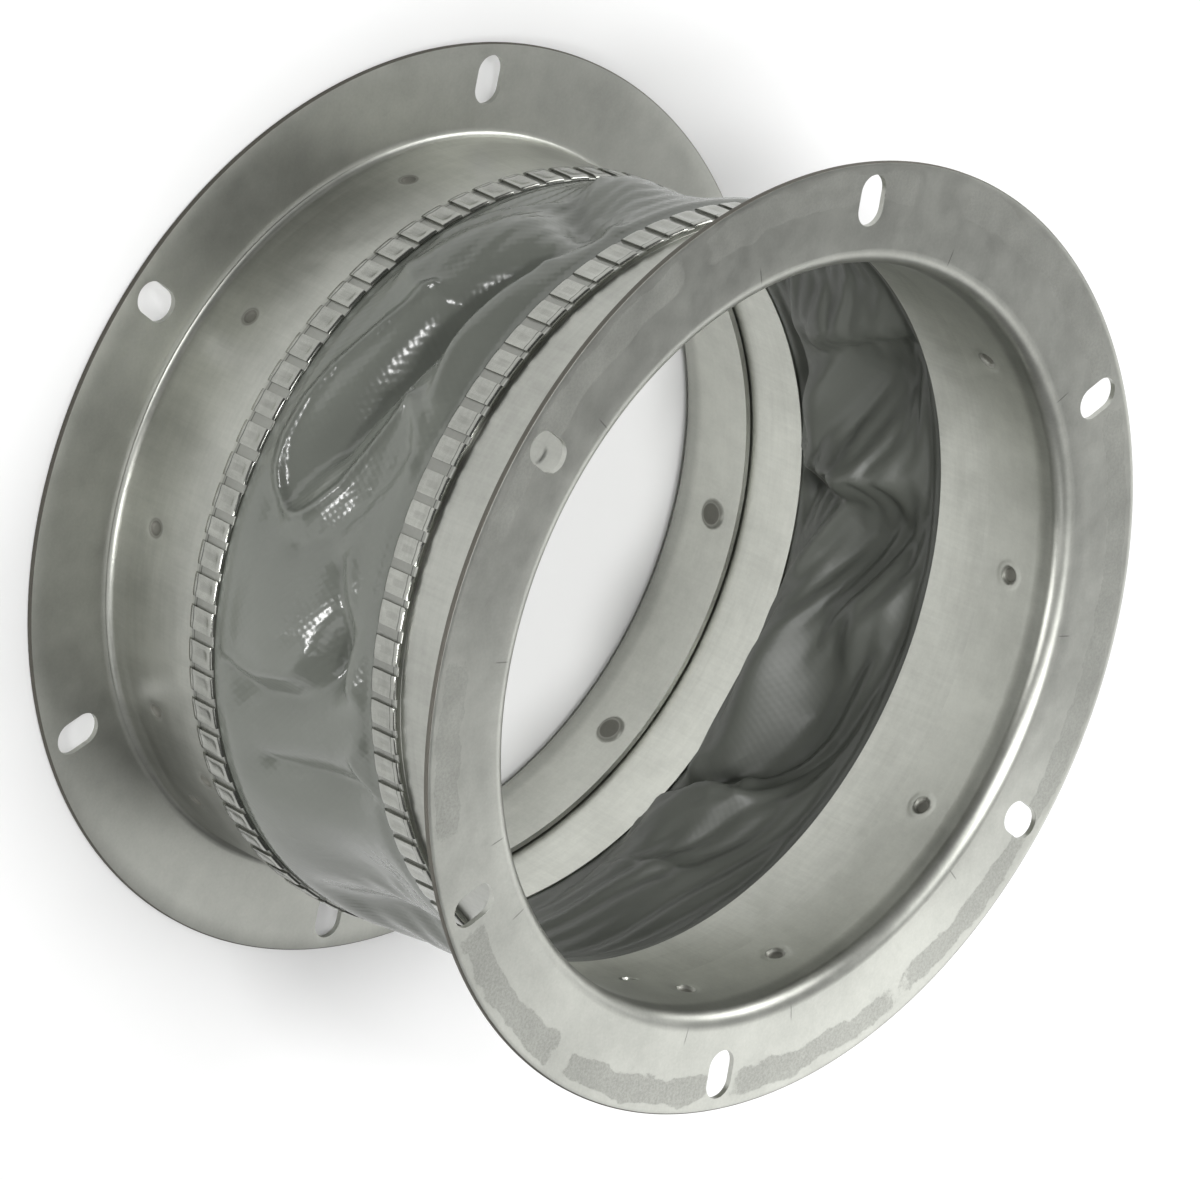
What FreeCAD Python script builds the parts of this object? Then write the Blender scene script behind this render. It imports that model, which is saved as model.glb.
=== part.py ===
import FreeCAD, Part
import math
import os
import Sketcher
from FreeCAD import Placement, Rotation, Vector

# A flanged flexible connector for round duct: two pressed flange rings, each with a rolled sheet sleeve
# clinched round its collar, and a short cloth sleeve held between the metal sleeves by folded seams.
# The back flange lies face down on z = 0 with its axis on Z. The front flange is above it, shifted,
# tilted and turned a little, because the cloth between them is slack.
# Each end is drawn in a frame of its own: z = 0 on the flange's outer face, +Z towards the cloth.
# The front end is then turned over and set on top.

# Driving sizes, in millimetres and degrees
SIZES = (
    ("flange_sheet", 1.5, "sheet of the flange ring"),
    ("edge_bevel", 0.3, "softened outer edge of the flange"),
    ("bore_dia", 200, "inside of the collar"),
    ("flange_width", 27.5, "flange ring, from the bore to the rim"),
    ("bend_radius", 4.5, "bend from face to collar, on the face side"),
    ("flare_rise", 0.25, "how much wider the collar's root is than its bore"),
    ("flare_end", 8.7, "depth of the crease where the root ends"),
    ("collar_length", 26.5, "face to the collar's end"),
    ("slot_inset", 10, "rim to the middle of a bolt slot"),
    ("slot_width", 9, "bolt slot, across"),
    ("slot_length", 13.5, "bolt slot, along the radius"),
    ("slot_count", 6, "bolt slots in one flange"),
    ("sleeve_sheet", 0.5, "sheet of the sleeve"),
    ("sleeve_gap", 0.5, "space between collar and sleeve"),
    ("lip_angle", 60, "how far the sleeve's end follows the flange's bend"),
    ("seam_near", 37, "face to the seam's near fold"),
    ("seam_width", 9.4, "seam, along the duct"),
    ("pocket_floor", 1, "near fold to the cloth's edge pocket"),
    ("cloth_sheet", 0.6, "coated cloth"),
    ("cloth_clear", 0.1, "space each side of the cloth in its pocket"),
    ("hem_sheet", 0.5, "folded layers over the cloth, between the tabs"),
    ("hem_bevel", 0.25, "softened edge of the folds between the tabs"),
    ("tab_rise", 0.8, "how far a tab stands over the hem"),
    ("tab_bevel", 0.5, "softened edge of a tab's folds"),
    ("tab_root", 0.3, "how deep a tab grows out of the hem"),
    ("tab_count", 75, "tabs round one seam"),
    ("tab_share", 0.62, "share of its pitch that a tab takes"),
    ("narrow_pitch", 3.7, "pitch of the one narrow tab that closes the row"),
    ("punch_radius", 2.5, "clinch point, inside of the punched cup"),
    ("cup_radius", 3.1, "clinch point, outside of the punched cup"),
    ("button_radius", 4.1, "clinch point, outside of the sheet that wraps the cup"),
    ("cup_push", 0.7, "how far the cup is pushed past the collar"),
    ("cup_floor", 0.5, "floor of the cup"),
    ("cup_clear", 0.1, "space round the cup"),
    ("button_floor", 0.6, "floor of the wrapping sheet"),
    ("clinch_height", 17.5, "face to the row of clinch points"),
    ("stray_height", 30, "face to the one clinch point out of the row"),
    ("face_distance", 142.8, "flange face to flange face"),
    ("front_shift_x", 8.4, "front end, sideways shift"),
    ("front_shift_y", -7.2, "front end, sideways shift"),
    ("front_tilt_x", 1.83, "front end, tilt about X"),
    ("front_tilt_y", 1.08, "front end, tilt about Y"),
    ("front_turn", 1.43, "front end, turn about its axis"),
    ("front_seam_turn", -106.7, "narrow tab of the front seam"),
    ("back_seam_turn", 83.8, "narrow tab of the back seam"),
    ("shoulder_rise", 1, "how far the cloth rises as it leaves a seam"),
    ("fold_height", 13, "height of a full fold in the cloth"),
)

# Clinch points round each end, as turns in that end's own frame. They were punched by hand, unevenly.
# The last one of each list is the one out of the row, in the sleeve alone.
CLINCH_TURNS = {
    "front": (11.7, 48.9, 87.4, 125.6, 160.5, 179.6, 226.9, 266.1, 300.7, 333.3, 183.3),
    "back": (21.5, 54.6, 88.3, 117.6, 136, 167.5, 199, 230.4, 268.8, 306.4, 344, 128),
}

# Folds of the slack cloth, one row each: the turn round the sleeve, the place between the back seam, 0, and
# the front seam, 1, the reach round in degrees, the reach along, the lean in degrees over the whole
# length, and the height as a share of a full fold. A positive fold stands outwards.
FOLDS = (
    (6, 0.46, 7, 0.24, 6, 0.4),
    (19, 0.62, 4.5, 0.22, 10, -0.55),
    (32, 0.34, 10, 0.24, -30, 0.45),
    (42, 0.61, 7, 0.15, -70, -0.75),
    (42, 0.85, 12, 0.1, 0, 0.25),
    (63, 0.42, 7.5, 0.24, -60, -0.45),
    (95, 0.38, 7, 0.22, 0, 0.32),
    (96, 0.78, 4.5, 0.1, -40, -0.5),
    (106, 0.36, 4, 0.3, -6, -0.3),
    (118, 0.56, 4, 0.34, 0, -0.3),
    (140, 0.6, 10, 0.3, 0, -0.35),
    (156, 0.45, 8, 0.36, 10, -0.6),
    (172, 0.55, 7, 0.3, -8, 0.5),
    (189, 0.62, 8, 0.32, 12, 0.45),
    (205, 0.4, 8, 0.3, 0, -0.6),
    (221, 0.38, 5.5, 0.34, 14, -1.1),
    (236, 0.6, 8, 0.26, 10, 0.55),
    (249, 0.24, 15, 0.17, 0, -1.25),
    (259, 0.66, 6, 0.26, -6, -0.75),
    (272, 0.55, 6.5, 0.3, 8, 0.55),
    (284, 0.52, 5.5, 0.32, -8, -0.9),
    (297, 0.24, 7, 0.2, 10, -0.95),
    (298, 0.66, 6, 0.24, 0, 0.5),
    (310, 0.5, 5, 0.34, -4, -0.9),
    (325, 0.4, 7, 0.3, 8, 0.5),
    (341, 0.6, 7, 0.3, -8, -0.7),
    (355, 0.45, 7, 0.32, 6, -0.35),
)

SEAM_MARGIN = 0.22      # share of the cloth's length over which the folds die out at each seam
SHOULDER_SHARE = 0.1    # share of that length over which it rises out of a seam
TURN_STEPS = 80         # creased panels round the cloth
LENGTH_STEPS = 10       # rows of panels along its free wall

# Radii and heights that follow from the driving sizes
BORE = "Sizes.bore_dia / 2"
RIM = f"({BORE} + Sizes.flange_width)"
SLOT_MIDDLE = f"({RIM} - Sizes.slot_inset)"
COLLAR = f"({BORE} + Sizes.flange_sheet)"
BEND = f"({BORE} + Sizes.flare_rise + Sizes.bend_radius)"
SLEEVE_IN = f"({COLLAR} + Sizes.sleeve_gap)"
SLEEVE_OUT = f"({SLEEVE_IN} + Sizes.sleeve_sheet)"
HEM_IN = f"({SLEEVE_OUT} + Sizes.cloth_sheet + 2 * Sizes.cloth_clear)"
HEM_OUT = f"({HEM_IN} + Sizes.hem_sheet)"
TAB_OUT = f"({HEM_OUT} + Sizes.tab_rise)"
SEAM_FAR = "(Sizes.seam_near + Sizes.seam_width)"
TAB_PITCH = "((360 - Sizes.narrow_pitch) / (Sizes.tab_count - 1))"
NARROW_TURN = f"({TAB_PITCH} / 2 + Sizes.narrow_pitch / 2)"
FRONT_PLACE = ("placement(vector(Sizes.front_shift_x; Sizes.front_shift_y; Sizes.face_distance); "
               "rotation(Sizes.front_turn; Sizes.front_tilt_y; 180 + Sizes.front_tilt_x))")


def make_sheet(doc):
    sheet = doc.addObject("Spreadsheet::Sheet", "Sizes")
    for row, (alias, value, note) in enumerate(SIZES, start=1):
        sheet.set(f"A{row}", alias)
        sheet.set(f"B{row}", str(value))
        sheet.setAlias(f"B{row}", alias)
        sheet.set(f"C{row}", note)
    doc.recompute()
    return sheet


def value(expression):
    """The number that an expression on the sheet stands for."""
    return float(FreeCAD.ActiveDocument.getObject("Sizes").evalExpression(expression))


def origin_feature(body, role):
    return next(item for item in body.Origin.OriginFeatures if item.Role == role)


def arc_between(start, end, radius):
    """Arc of less than half a turn. A positive radius keeps the centre on the left of the way."""
    chord = end - start
    across = Vector(-chord.y, chord.x, 0).normalize()
    rise = math.sqrt(max(radius ** 2 - (chord.Length / 2) ** 2, 0))
    centre = start + chord / 2 + across * math.copysign(rise, radius)
    circle = Part.Circle(centre, Vector(0, 0, 1), abs(radius))
    ends = (start, end) if radius > 0 else (end, start)
    first, last = (circle.parameter(point) for point in ends)
    return Part.ArcOfCircle(circle, first, last)


def outline(body, name, plane, corners):
    """Closed sketch through corners given as expressions (x, y) or (x, y, radius).

    A third value makes the edge that leaves the corner an arc, with a minus sign for one that turns right.
    """
    sketch = body.newObject("Sketcher::SketchObject", name)
    sketch.AttachmentSupport = [(origin_feature(body, plane), "")]
    sketch.MapMode = "FlatFace"
    points = [Vector(value(corner[0]), value(corner[1]), 0) for corner in corners]
    first_ends = []
    last_ends = []
    for index, corner in enumerate(corners):
        start = points[index]
        end = points[(index + 1) % len(corners)]
        turns_right = len(corner) == 3 and corner[2].startswith("-")
        edge = arc_between(start, end, value(corner[2])) if len(corner) == 3 else Part.LineSegment(start, end)
        sketch.addGeometry(edge, False)
        first_ends.append(2 if turns_right else 1)
        last_ends.append(1 if turns_right else 2)
    for index, corner in enumerate(corners):
        place_corner(sketch, index, first_ends[index], corner, points[index])
        before = index - 1 if index else len(corners) - 1
        sketch.addConstraint(Sketcher.Constraint("Coincident", before, last_ends[before],
                                                 index, first_ends[index]))
        if len(corner) == 3:
            radius = corner[2].lstrip("-")
            count = sketch.addConstraint(Sketcher.Constraint("Radius", index, value(radius)))
            sketch.setExpression(f"Constraints[{count}]", radius)
    return sketch


def place_corner(sketch, edge, end, corner, point):
    """Bind one corner of a sketch to its two expressions; zero means that it lies on the axis."""
    for kind, axis, expression, distance in (("DistanceX", -2, corner[0], point.x),
                                             ("DistanceY", -1, corner[1], point.y)):
        if distance == 0:
            sketch.addConstraint(Sketcher.Constraint("PointOnObject", edge, end, axis))
            continue
        count = sketch.addConstraint(Sketcher.Constraint(kind, -1, 1, edge, end, distance))
        sketch.setExpression(f"Constraints[{count}]", expression)


def revolve(body, name, sketch, angle="360", both_ways=False):
    turned = body.newObject("PartDesign::Revolution", name)
    turned.Profile = sketch
    turned.ReferenceAxis = (sketch, ["V_Axis"])
    turned.Midplane = both_ways
    turned.setExpression("Angle", angle)
    return turned


def polar_pattern(body, name, feature, count, angle="360"):
    pattern = body.newObject("PartDesign::PolarPattern", name)
    pattern.Originals = [feature]
    pattern.Axis = (origin_feature(body, "Z_Axis"), [""])
    pattern.setExpression("Angle", angle)
    pattern.setExpression("Occurrences", count)
    body.Tip = pattern
    return pattern


def flange_blank(doc, end):
    """Pressed ring: flat face, bend, slightly flared root and short collar, with radial bolt slots."""
    body = doc.addObject("PartDesign::Body", f"{end}_flange_blank")
    sheet = "Sizes.flange_sheet"
    edge = "Sizes.edge_bevel"
    bend = "Sizes.bend_radius"
    section = outline(body, f"{end}_flange_section", "XZ_Plane", (
        (f"{RIM} - {edge}", "0"),
        (RIM, edge),
        (RIM, f"{sheet} - {edge}"),
        (f"{RIM} - {edge}", sheet),
        (BEND, sheet, f"-({bend} - {sheet})"),
        (f"{BEND} - {bend} + {sheet}", bend),
        (COLLAR, "Sizes.flare_end"),
        (COLLAR, "Sizes.collar_length"),
        (BORE, "Sizes.collar_length"),
        (BORE, "Sizes.flare_end"),
        (f"{BORE} + Sizes.flare_rise", bend, bend),
        (BEND, "0"),
    ))
    revolve(body, f"{end}_flange_ring", section)
    straight = "(Sizes.slot_length - Sizes.slot_width) / 2"
    half = "Sizes.slot_width / 2"
    slot = outline(body, f"{end}_slot_outline", "XY_Plane", (
        (f"{SLOT_MIDDLE} - {straight}", f"-{half}"),
        (f"{SLOT_MIDDLE} + {straight}", f"-{half}", half),
        (f"{SLOT_MIDDLE} + {straight} + {half}", "0", half),
        (f"{SLOT_MIDDLE} + {straight}", half),
        (f"{SLOT_MIDDLE} - {straight}", half, half),
        (f"{SLOT_MIDDLE} - {straight} - {half}", "0", half),
    ))
    pocket = body.newObject("PartDesign::Pocket", f"{end}_slot")
    pocket.Profile = slot
    pocket.Type = "ThroughAll"
    pocket.Midplane = True
    polar_pattern(body, f"{end}_slots", pocket, "Sizes.slot_count")
    return body


def sleeve_blank(doc, end):
    """Rolled band with a curled lip at the flange, and the folded seam with its row of tabs."""
    body = doc.addObject("PartDesign::Body", f"{end}_sleeve_blank")
    near = "Sizes.seam_near"
    bend = "Sizes.bend_radius"
    bevel = "Sizes.hem_bevel"
    lip_in = f"({BEND} - {SLEEVE_IN})"
    lip_out = f"({BEND} - {SLEEVE_OUT})"
    across = "cos(Sizes.lip_angle)"
    down = "sin(Sizes.lip_angle)"
    floor = f"{near} + Sizes.pocket_floor"
    section = outline(body, f"{end}_sleeve_section", "XZ_Plane", (
        (f"{BEND} - {lip_in} * {across}", f"{bend} - {lip_in} * {down}", f"-{lip_in}"),
        (SLEEVE_IN, bend),
        (SLEEVE_IN, SEAM_FAR),
        (SLEEVE_OUT, SEAM_FAR),
        (SLEEVE_OUT, floor),
        (HEM_IN, floor),
        (HEM_IN, SEAM_FAR),
        (f"{HEM_OUT} - {bevel}", SEAM_FAR),
        (HEM_OUT, f"{SEAM_FAR} - {bevel}"),
        (HEM_OUT, f"{near} + {bevel}"),
        (f"{HEM_OUT} - {bevel}", near),
        (SLEEVE_OUT, near),
        (SLEEVE_OUT, bend, lip_out),
        (f"{BEND} - {lip_out} * {across}", f"{bend} - {lip_out} * {down}"),
    ))
    revolve(body, f"{end}_sleeve_ring", section)
    narrow = tab(body, f"{end}_narrow_tab", "Sizes.tab_share * Sizes.narrow_pitch")
    narrow.Profile[0].setExpression("AttachmentOffset",
                                    f"placement(vector(0; 0; 0); rotation(0; -{NARROW_TURN}; 0))")
    first = tab(body, f"{end}_tab", f"Sizes.tab_share * {TAB_PITCH}")
    polar_pattern(body, f"{end}_tabs", first, "Sizes.tab_count - 1", f"(Sizes.tab_count - 2) * {TAB_PITCH}")
    body.setExpression("Placement", f"placement(vector(0; 0; 0); "
                                    f"rotation(Sizes.{end}_seam_turn + {NARROW_TURN}; 0; 0))")
    return body


def tab(body, name, angle):
    """One raised tab of the seam, with both of its folds softened."""
    near = "Sizes.seam_near"
    bevel = "Sizes.tab_bevel"
    root = f"{HEM_OUT} - Sizes.tab_root"
    section = outline(body, f"{name}_section", "XZ_Plane", (
        (root, near),
        (f"{TAB_OUT} - {bevel}", near),
        (TAB_OUT, f"{near} + {bevel}"),
        (TAB_OUT, f"{SEAM_FAR} - {bevel}"),
        (f"{TAB_OUT} - {bevel}", SEAM_FAR),
        (root, SEAM_FAR),
    ))
    return revolve(body, name, section, angle, both_ways=True)


def radial_pin(doc, name, turn, height, radius, start, end):
    """Round pin along a radius of the ring, from one distance from the axis to another."""
    pin = doc.addObject("Part::Cylinder", name)
    pin.setExpression("Radius", radius)
    pin.setExpression("Height", f"{end} - ({start})")
    pin.setExpression("Placement", f"placement(vector(({start}) * cos({turn}); ({start}) * sin({turn}); "
                                   f"{height}); rotation({turn}; 90; 0))")
    return pin


def clinch(doc, piece, blank, raised, hollow, turns):
    """Push the clinch points into a blank: raised and hollow are each (radius, start, end) of a pin."""
    pins = {"boss": [], "pit": []}
    for number, turn in enumerate(turns, start=1):
        is_stray = number == len(CLINCH_TURNS[piece.split("_")[0]])
        height = "Sizes.stray_height" if is_stray else "Sizes.clinch_height"
        for kind, pin_size in (("boss", raised), ("pit", hollow)):
            pins[kind].append(radial_pin(doc, f"{piece}_{kind}_{number}", turn, height, *pin_size))
    bumped = doc.addObject("Part::MultiFuse", f"{piece}_bumped")
    bumped.Shapes = [blank] + pins["boss"]
    pits = doc.addObject("Part::MultiFuse", f"{piece}_pits")
    pits.Shapes = pins["pit"]
    clinched = doc.addObject("Part::Cut", piece)
    clinched.Base = bumped
    clinched.Tool = pits
    clinched.Label = piece
    return clinched


def front_end(doc):
    """The front's clinch points are pushed outwards, from the collar into the sleeve."""
    turns = CLINCH_TURNS["front"]
    floor = f"({COLLAR} + Sizes.cup_push)"
    cup_top = f"({floor} + Sizes.cup_floor)"
    button_in = f"({cup_top} + Sizes.cup_clear)"
    in_collar = f"({BORE} + Sizes.flange_sheet / 2)"
    in_sleeve = f"({SLEEVE_IN} + Sizes.sleeve_sheet / 2)"
    flange = clinch(doc, "front_flange", flange_blank(doc, "front"),
                    ("Sizes.cup_radius", in_collar, cup_top),
                    ("Sizes.punch_radius", f"{BORE} - Sizes.cup_push", floor), turns[:-1])
    sleeve = clinch(doc, "front_sleeve", sleeve_blank(doc, "front"),
                    ("Sizes.button_radius", in_sleeve, f"({button_in} + Sizes.button_floor)"),
                    ("Sizes.cup_radius + Sizes.cup_clear", f"{SLEEVE_IN} - Sizes.cup_push", button_in), turns)
    for piece in (flange, sleeve):
        piece.setExpression("Placement", FRONT_PLACE)
    return [flange, sleeve]


def back_end(doc):
    """The back's clinch points are pushed inwards, from the sleeve into the collar."""
    turns = CLINCH_TURNS["back"]
    floor = f"({BORE} + Sizes.cup_floor)"
    button_in = f"({BORE} - Sizes.cup_clear)"
    in_collar = f"({BORE} + Sizes.flange_sheet / 2)"
    in_sleeve = f"({SLEEVE_IN} + Sizes.sleeve_sheet / 2)"
    flange = clinch(doc, "back_flange", flange_blank(doc, "back"),
                    ("Sizes.button_radius", f"({button_in} - Sizes.button_floor)", in_collar),
                    ("Sizes.cup_radius + Sizes.cup_clear", button_in, f"({COLLAR} + Sizes.cup_push)"),
                    turns[:-1])
    sleeve = clinch(doc, "back_sleeve", sleeve_blank(doc, "back"),
                    ("Sizes.cup_radius", BORE, in_sleeve),
                    ("Sizes.punch_radius", floor, f"({SLEEVE_OUT} + Sizes.cup_push)"), turns)
    return [flange, sleeve]


def smooth(share):
    """Smooth step from 0 to 1."""
    share = min(max(share, 0), 1)
    return share * share * (3 - 2 * share)


def fold_offset(turn, place):
    """How far the folds move the cloth outwards at one place."""
    edge = min(place, 1 - place)
    total = 0
    for middle, middle_place, reach_round, reach_along, lean, height in FOLDS:
        along = place - middle_place
        away = (turn - middle - lean * along + 180) % 360 - 180
        total += height * math.exp(-(away / reach_round) ** 2 - (along / reach_along) ** 2)
    folds = value("Sizes.fold_height") * total * smooth(edge / SEAM_MARGIN)
    return folds + value("Sizes.shoulder_rise") * smooth(edge / SHOULDER_SHARE)


def cloth_middle(rings, radius, height, turn, place):
    """Point on the middle of the free cloth, on a smooth curve from one ring's edge to the other's."""
    back, front = rings
    angle = math.radians(turn)
    outwards = Vector(math.cos(angle), math.sin(angle), 0)
    start = back.multVec(Vector(radius * outwards.x, radius * outwards.y, height))
    end = front.multVec(Vector(radius * outwards.x, -radius * outwards.y, height))
    length = (end - start).Length
    leaving = back.Rotation.multVec(Vector(0, 0, length))
    arriving = front.Rotation.multVec(Vector(0, 0, -length))
    rise = smooth(place)
    middle = start * (1 - rise) + end * rise
    middle += leaving * (place * (1 - place) ** 2) - arriving * (place ** 2 * (1 - place))
    return middle + outwards * fold_offset(turn, place)


def cloth_normal(at, turn, place):
    """Outward direction square to the cloth; at a seam it is square to the ring's axis."""
    step = 0.01
    if place in (0, 1):
        round_way = at(turn + step, place) - at(turn - step, place)
        middle = (at(turn, place) + at(turn + 180, place)) / 2
        outwards = at(turn, place) - middle
        return (outwards - round_way * (outwards.dot(round_way) / round_way.dot(round_way))).normalize()
    round_way = at(turn + step, place) - at(turn - step, place)
    up_way = at(turn, place + step) - at(turn, place - step)
    return round_way.cross(up_way).normalize()


def cloth_rows(rings, offset):
    """Rows of points on one side of the cloth, from its edge in one seam's pocket to its edge in the other."""
    back, front = rings
    in_pocket = value(f"({SLEEVE_OUT} + {HEM_IN}) / 2") * 2 / (1 + math.cos(math.pi / TURN_STEPS))
    far = value(SEAM_FAR)
    floor = value("Sizes.seam_near + Sizes.pocket_floor + Sizes.cloth_clear")
    turns = [360 * index / TURN_STEPS for index in range(TURN_STEPS)]

    def at(turn, place):
        return cloth_middle(rings, in_pocket, far, turn, place)

    def edge_row(ring, side):
        radius = in_pocket + offset
        return [ring.multVec(Vector(radius * math.cos(math.radians(turn)),
                                    side * radius * math.sin(math.radians(turn)), floor)) for turn in turns]

    rows = [edge_row(back, 1)]
    for step in range(LENGTH_STEPS + 1):
        place = round((1 - math.cos(math.pi * step / LENGTH_STEPS)) / 2, 6)
        rows.append([at(turn, place) + cloth_normal(at, turn, place) * offset for turn in turns])
    return rows + [edge_row(front, -1)]


def canvas_sleeve(doc, rings):
    """Cloth tube of creased panels: plain edges in the seams' pockets and a slack, folded wall between."""
    half = value("Sizes.cloth_sheet / 2")
    outside = cloth_rows(rings, half)
    inside = cloth_rows(rings, -half)
    loop = outside + inside[::-1]
    points = [point for row in loop for point in row]
    facets = []
    for row in range(len(loop)):
        for index in range(TURN_STEPS):
            a = row * TURN_STEPS + index
            b = row * TURN_STEPS + (index + 1) % TURN_STEPS
            c = (row + 1) % len(loop) * TURN_STEPS + (index + 1) % TURN_STEPS
            d = (row + 1) % len(loop) * TURN_STEPS + index
            if (points[a] - points[c]).Length < (points[b] - points[d]).Length:
                facets += [(a, b, c), (a, c, d)]
            else:
                facets += [(a, b, d), (b, c, d)]
    skin = Part.Shape()
    skin.makeShapeFromMesh((points, facets), 0.001)
    cloth = doc.addObject("Part::Feature", "canvas_sleeve")
    cloth.Shape = Part.Solid(skin.removeSplitter())
    cloth.Label = "canvas_sleeve"
    cloth.Placement = Placement(Vector(0, 0, 0), Rotation())
    return cloth


def check(doc, pieces):
    """Stop if any object failed or any piece has no sound shape."""
    for item in doc.Objects:
        if {"Invalid", "Error"} & set(item.State):
            raise RuntimeError(f"{item.Name} failed: {item.State}")
    for piece in pieces:
        if piece.Shape.isNull() or not piece.Shape.isValid():
            raise RuntimeError(f"{piece.Label} has no sound shape")
        print(piece.Label, "solids", len(piece.Shape.Solids), "volume", round(piece.Shape.Volume))


def main():
    doc = FreeCAD.newDocument("DuctConnector")
    make_sheet(doc)
    front = front_end(doc)
    back = back_end(doc)
    doc.recompute()
    rings = (back[0].Placement, front[0].Placement)
    pieces = front + back + [canvas_sleeve(doc, rings)]
    doc.recompute()
    check(doc, pieces)
    os.makedirs("parts", exist_ok=True)
    for piece in pieces:
        piece.Shape.exportStep(f"parts/{piece.Label}.step")


main()
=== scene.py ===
import math

import bmesh
import bpy
import numpy as np
from mathutils import Euler, Matrix, Vector


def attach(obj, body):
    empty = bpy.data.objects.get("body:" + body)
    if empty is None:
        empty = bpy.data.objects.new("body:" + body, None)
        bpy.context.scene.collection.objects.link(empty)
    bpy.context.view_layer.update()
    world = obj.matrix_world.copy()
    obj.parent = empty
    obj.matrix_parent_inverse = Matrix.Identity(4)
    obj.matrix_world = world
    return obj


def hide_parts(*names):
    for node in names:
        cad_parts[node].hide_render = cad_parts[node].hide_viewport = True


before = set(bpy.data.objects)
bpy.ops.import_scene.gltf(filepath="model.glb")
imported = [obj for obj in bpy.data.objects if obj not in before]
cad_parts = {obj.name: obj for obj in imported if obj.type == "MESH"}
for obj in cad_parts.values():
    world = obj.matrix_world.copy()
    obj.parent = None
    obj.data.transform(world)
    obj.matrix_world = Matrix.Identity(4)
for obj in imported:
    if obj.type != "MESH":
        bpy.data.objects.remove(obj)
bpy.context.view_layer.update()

# Looks of a flanged flexible duct connector: galvanised flanges and sleeves, folded seams and a slack
# sleeve of coated cloth. Sections of round pieces are in millimetres in their ring's own frame, with
# z = 0 on the flange's outer face and +Z towards the cloth; finished pieces are in metres.

MM = 0.001
RINGS = {
    "back": Matrix.Identity(4),
    "front": (Matrix.Translation((8.4, -7.2, 142.8))
              @ Euler([math.radians(angle) for angle in (181.83, 1.08, 1.43)]).to_matrix().to_4x4()),
}

# Sizes shared by both ends
RIM = 127.5
SHEET = 1.5
RIM_ROUND = 0.4
BORE = 100.0
COLLAR = BORE + SHEET
BEND = 104.75
BEND_RADIUS = 4.5
FLARE = 0.25
FLARE_END = 8.7
COLLAR_END = 26.5
SLOT_CIRCLE = 117.5
SLOT_HALF_WIDTH = 4.5
SLOT_HALF_STRAIGHT = 2.25
SLOT_COUNT = 6
SLEEVE_IN = 102.0
SLEEVE_OUT = 102.5
HEM_IN = 103.3
HEM_OUT = 103.8
TAB_OUT = 104.6
TAB_ROOT = 103.5
HEM_ROUND = 0.4
SEAM_NEAR = 37.0
SEAM_FAR = 46.4
LIP_ANGLE = 60

# Tabs over a seam: how many, the pitch of the narrow one in degrees, the share of the pitch that a tab
# takes, the reach and drop of its rounded ends, the depth of its dish, how far its turn varies, and the turn
# of the narrow one
TAB_COUNT = 75
NARROW_PITCH = 3.7
TAB_SHARE = 0.71
TAB_FOLD = 1.4
TAB_DROP = 0.9
TAB_DISH = 0.34
TAB_JITTER = 0.16
SEAM_TURN = {"front": -106.7, "back": 83.8}

# Clinch points: turns in the ring's frame, the last one out of the row and in the sleeve alone
CLINCH_TURNS = {
    "front": (11.7, 48.9, 87.4, 125.6, 160.5, 179.6, 226.9, 266.1, 300.7, 333.3, 183.3),
    "back": (21.5, 54.6, 88.3, 117.6, 136, 167.5, 199, 230.4, 268.8, 306.4, 344, 128),
}
CLINCH_HEIGHT = 17.5
STRAY_HEIGHT = 30.0

# Unevenness of the rolled walls, and the heights of a sleeve's wall between which its lines lie close
COLLAR_WOBBLE = 0.05
SLEEVE_WOBBLE = 0.07
WALL_START = 6
WALL_END = 34

# Slack cloth: its radius in the seams, its free length as cut, the depth of its edges in the seams, the
# height of a fold of 1, and the shares of the length over which folds, shoulders and creases start
CLOTH_RADIUS = (SLEEVE_OUT + HEM_IN) / 2
CLOTH_SHEET = 0.6
CLOTH_LENGTH = 57.0
POCKET_DEPTH = 8.3
CLOTH_COLUMNS = 264
CLOTH_ROWS = 26
FOLD_HEIGHT = 13.0
SEAM_MARGIN = 0.22
SHOULDER_RISE = 1.0
SHOULDER_SHARE = 0.1
CREASE_MARGIN = 0.08

# Cloth simulation: the share of the folds that the cut cloth starts with, the frames in which its edges are
# pushed home and all frames, and how firmly the fitted folds hold it: up to the first turn, where the photo
# shows its outside, and past the second, where it shows its inside
SEED_SHARE = 0.8
PUSH_FRAMES = 20
CLOTH_FRAMES = 36
FOLD_HOLD = 0.9
SLACK_HOLD = 0.45
HOLD_TURNS = (125, 150)
CLOTH_SETTINGS = {
    "quality": 8, "mass": 0.0004,
    "tension_stiffness": 40, "compression_stiffness": 4, "shear_stiffness": 1, "bending_stiffness": 10,
    "tension_damping": 5, "compression_damping": 5, "shear_damping": 5, "bending_damping": 0.5,
    "air_damping": 1,
}

# Cloth's finish on each side: tones as (dark, light), roughness and strength of its bump
CLOTH_FINISHES = {"outside": ((0.14, 0.18), 0.2, 1.0), "inside": ((0.1, 0.13), 0.42, 0.4)}
CLOTH_GREEN = 0.06
WEAVE_PITCH = 2.4
WEAVE_HEIGHT = 0.02
CRUMPLE_HEIGHT = 0.12

# Creases, by their row below, whose edge is also drawn outside as a fine raised line; its height and width
RIM_LINES = (0,)
RIM_HEIGHT = 0.9
RIM_WIDTH = 1.3

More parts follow.
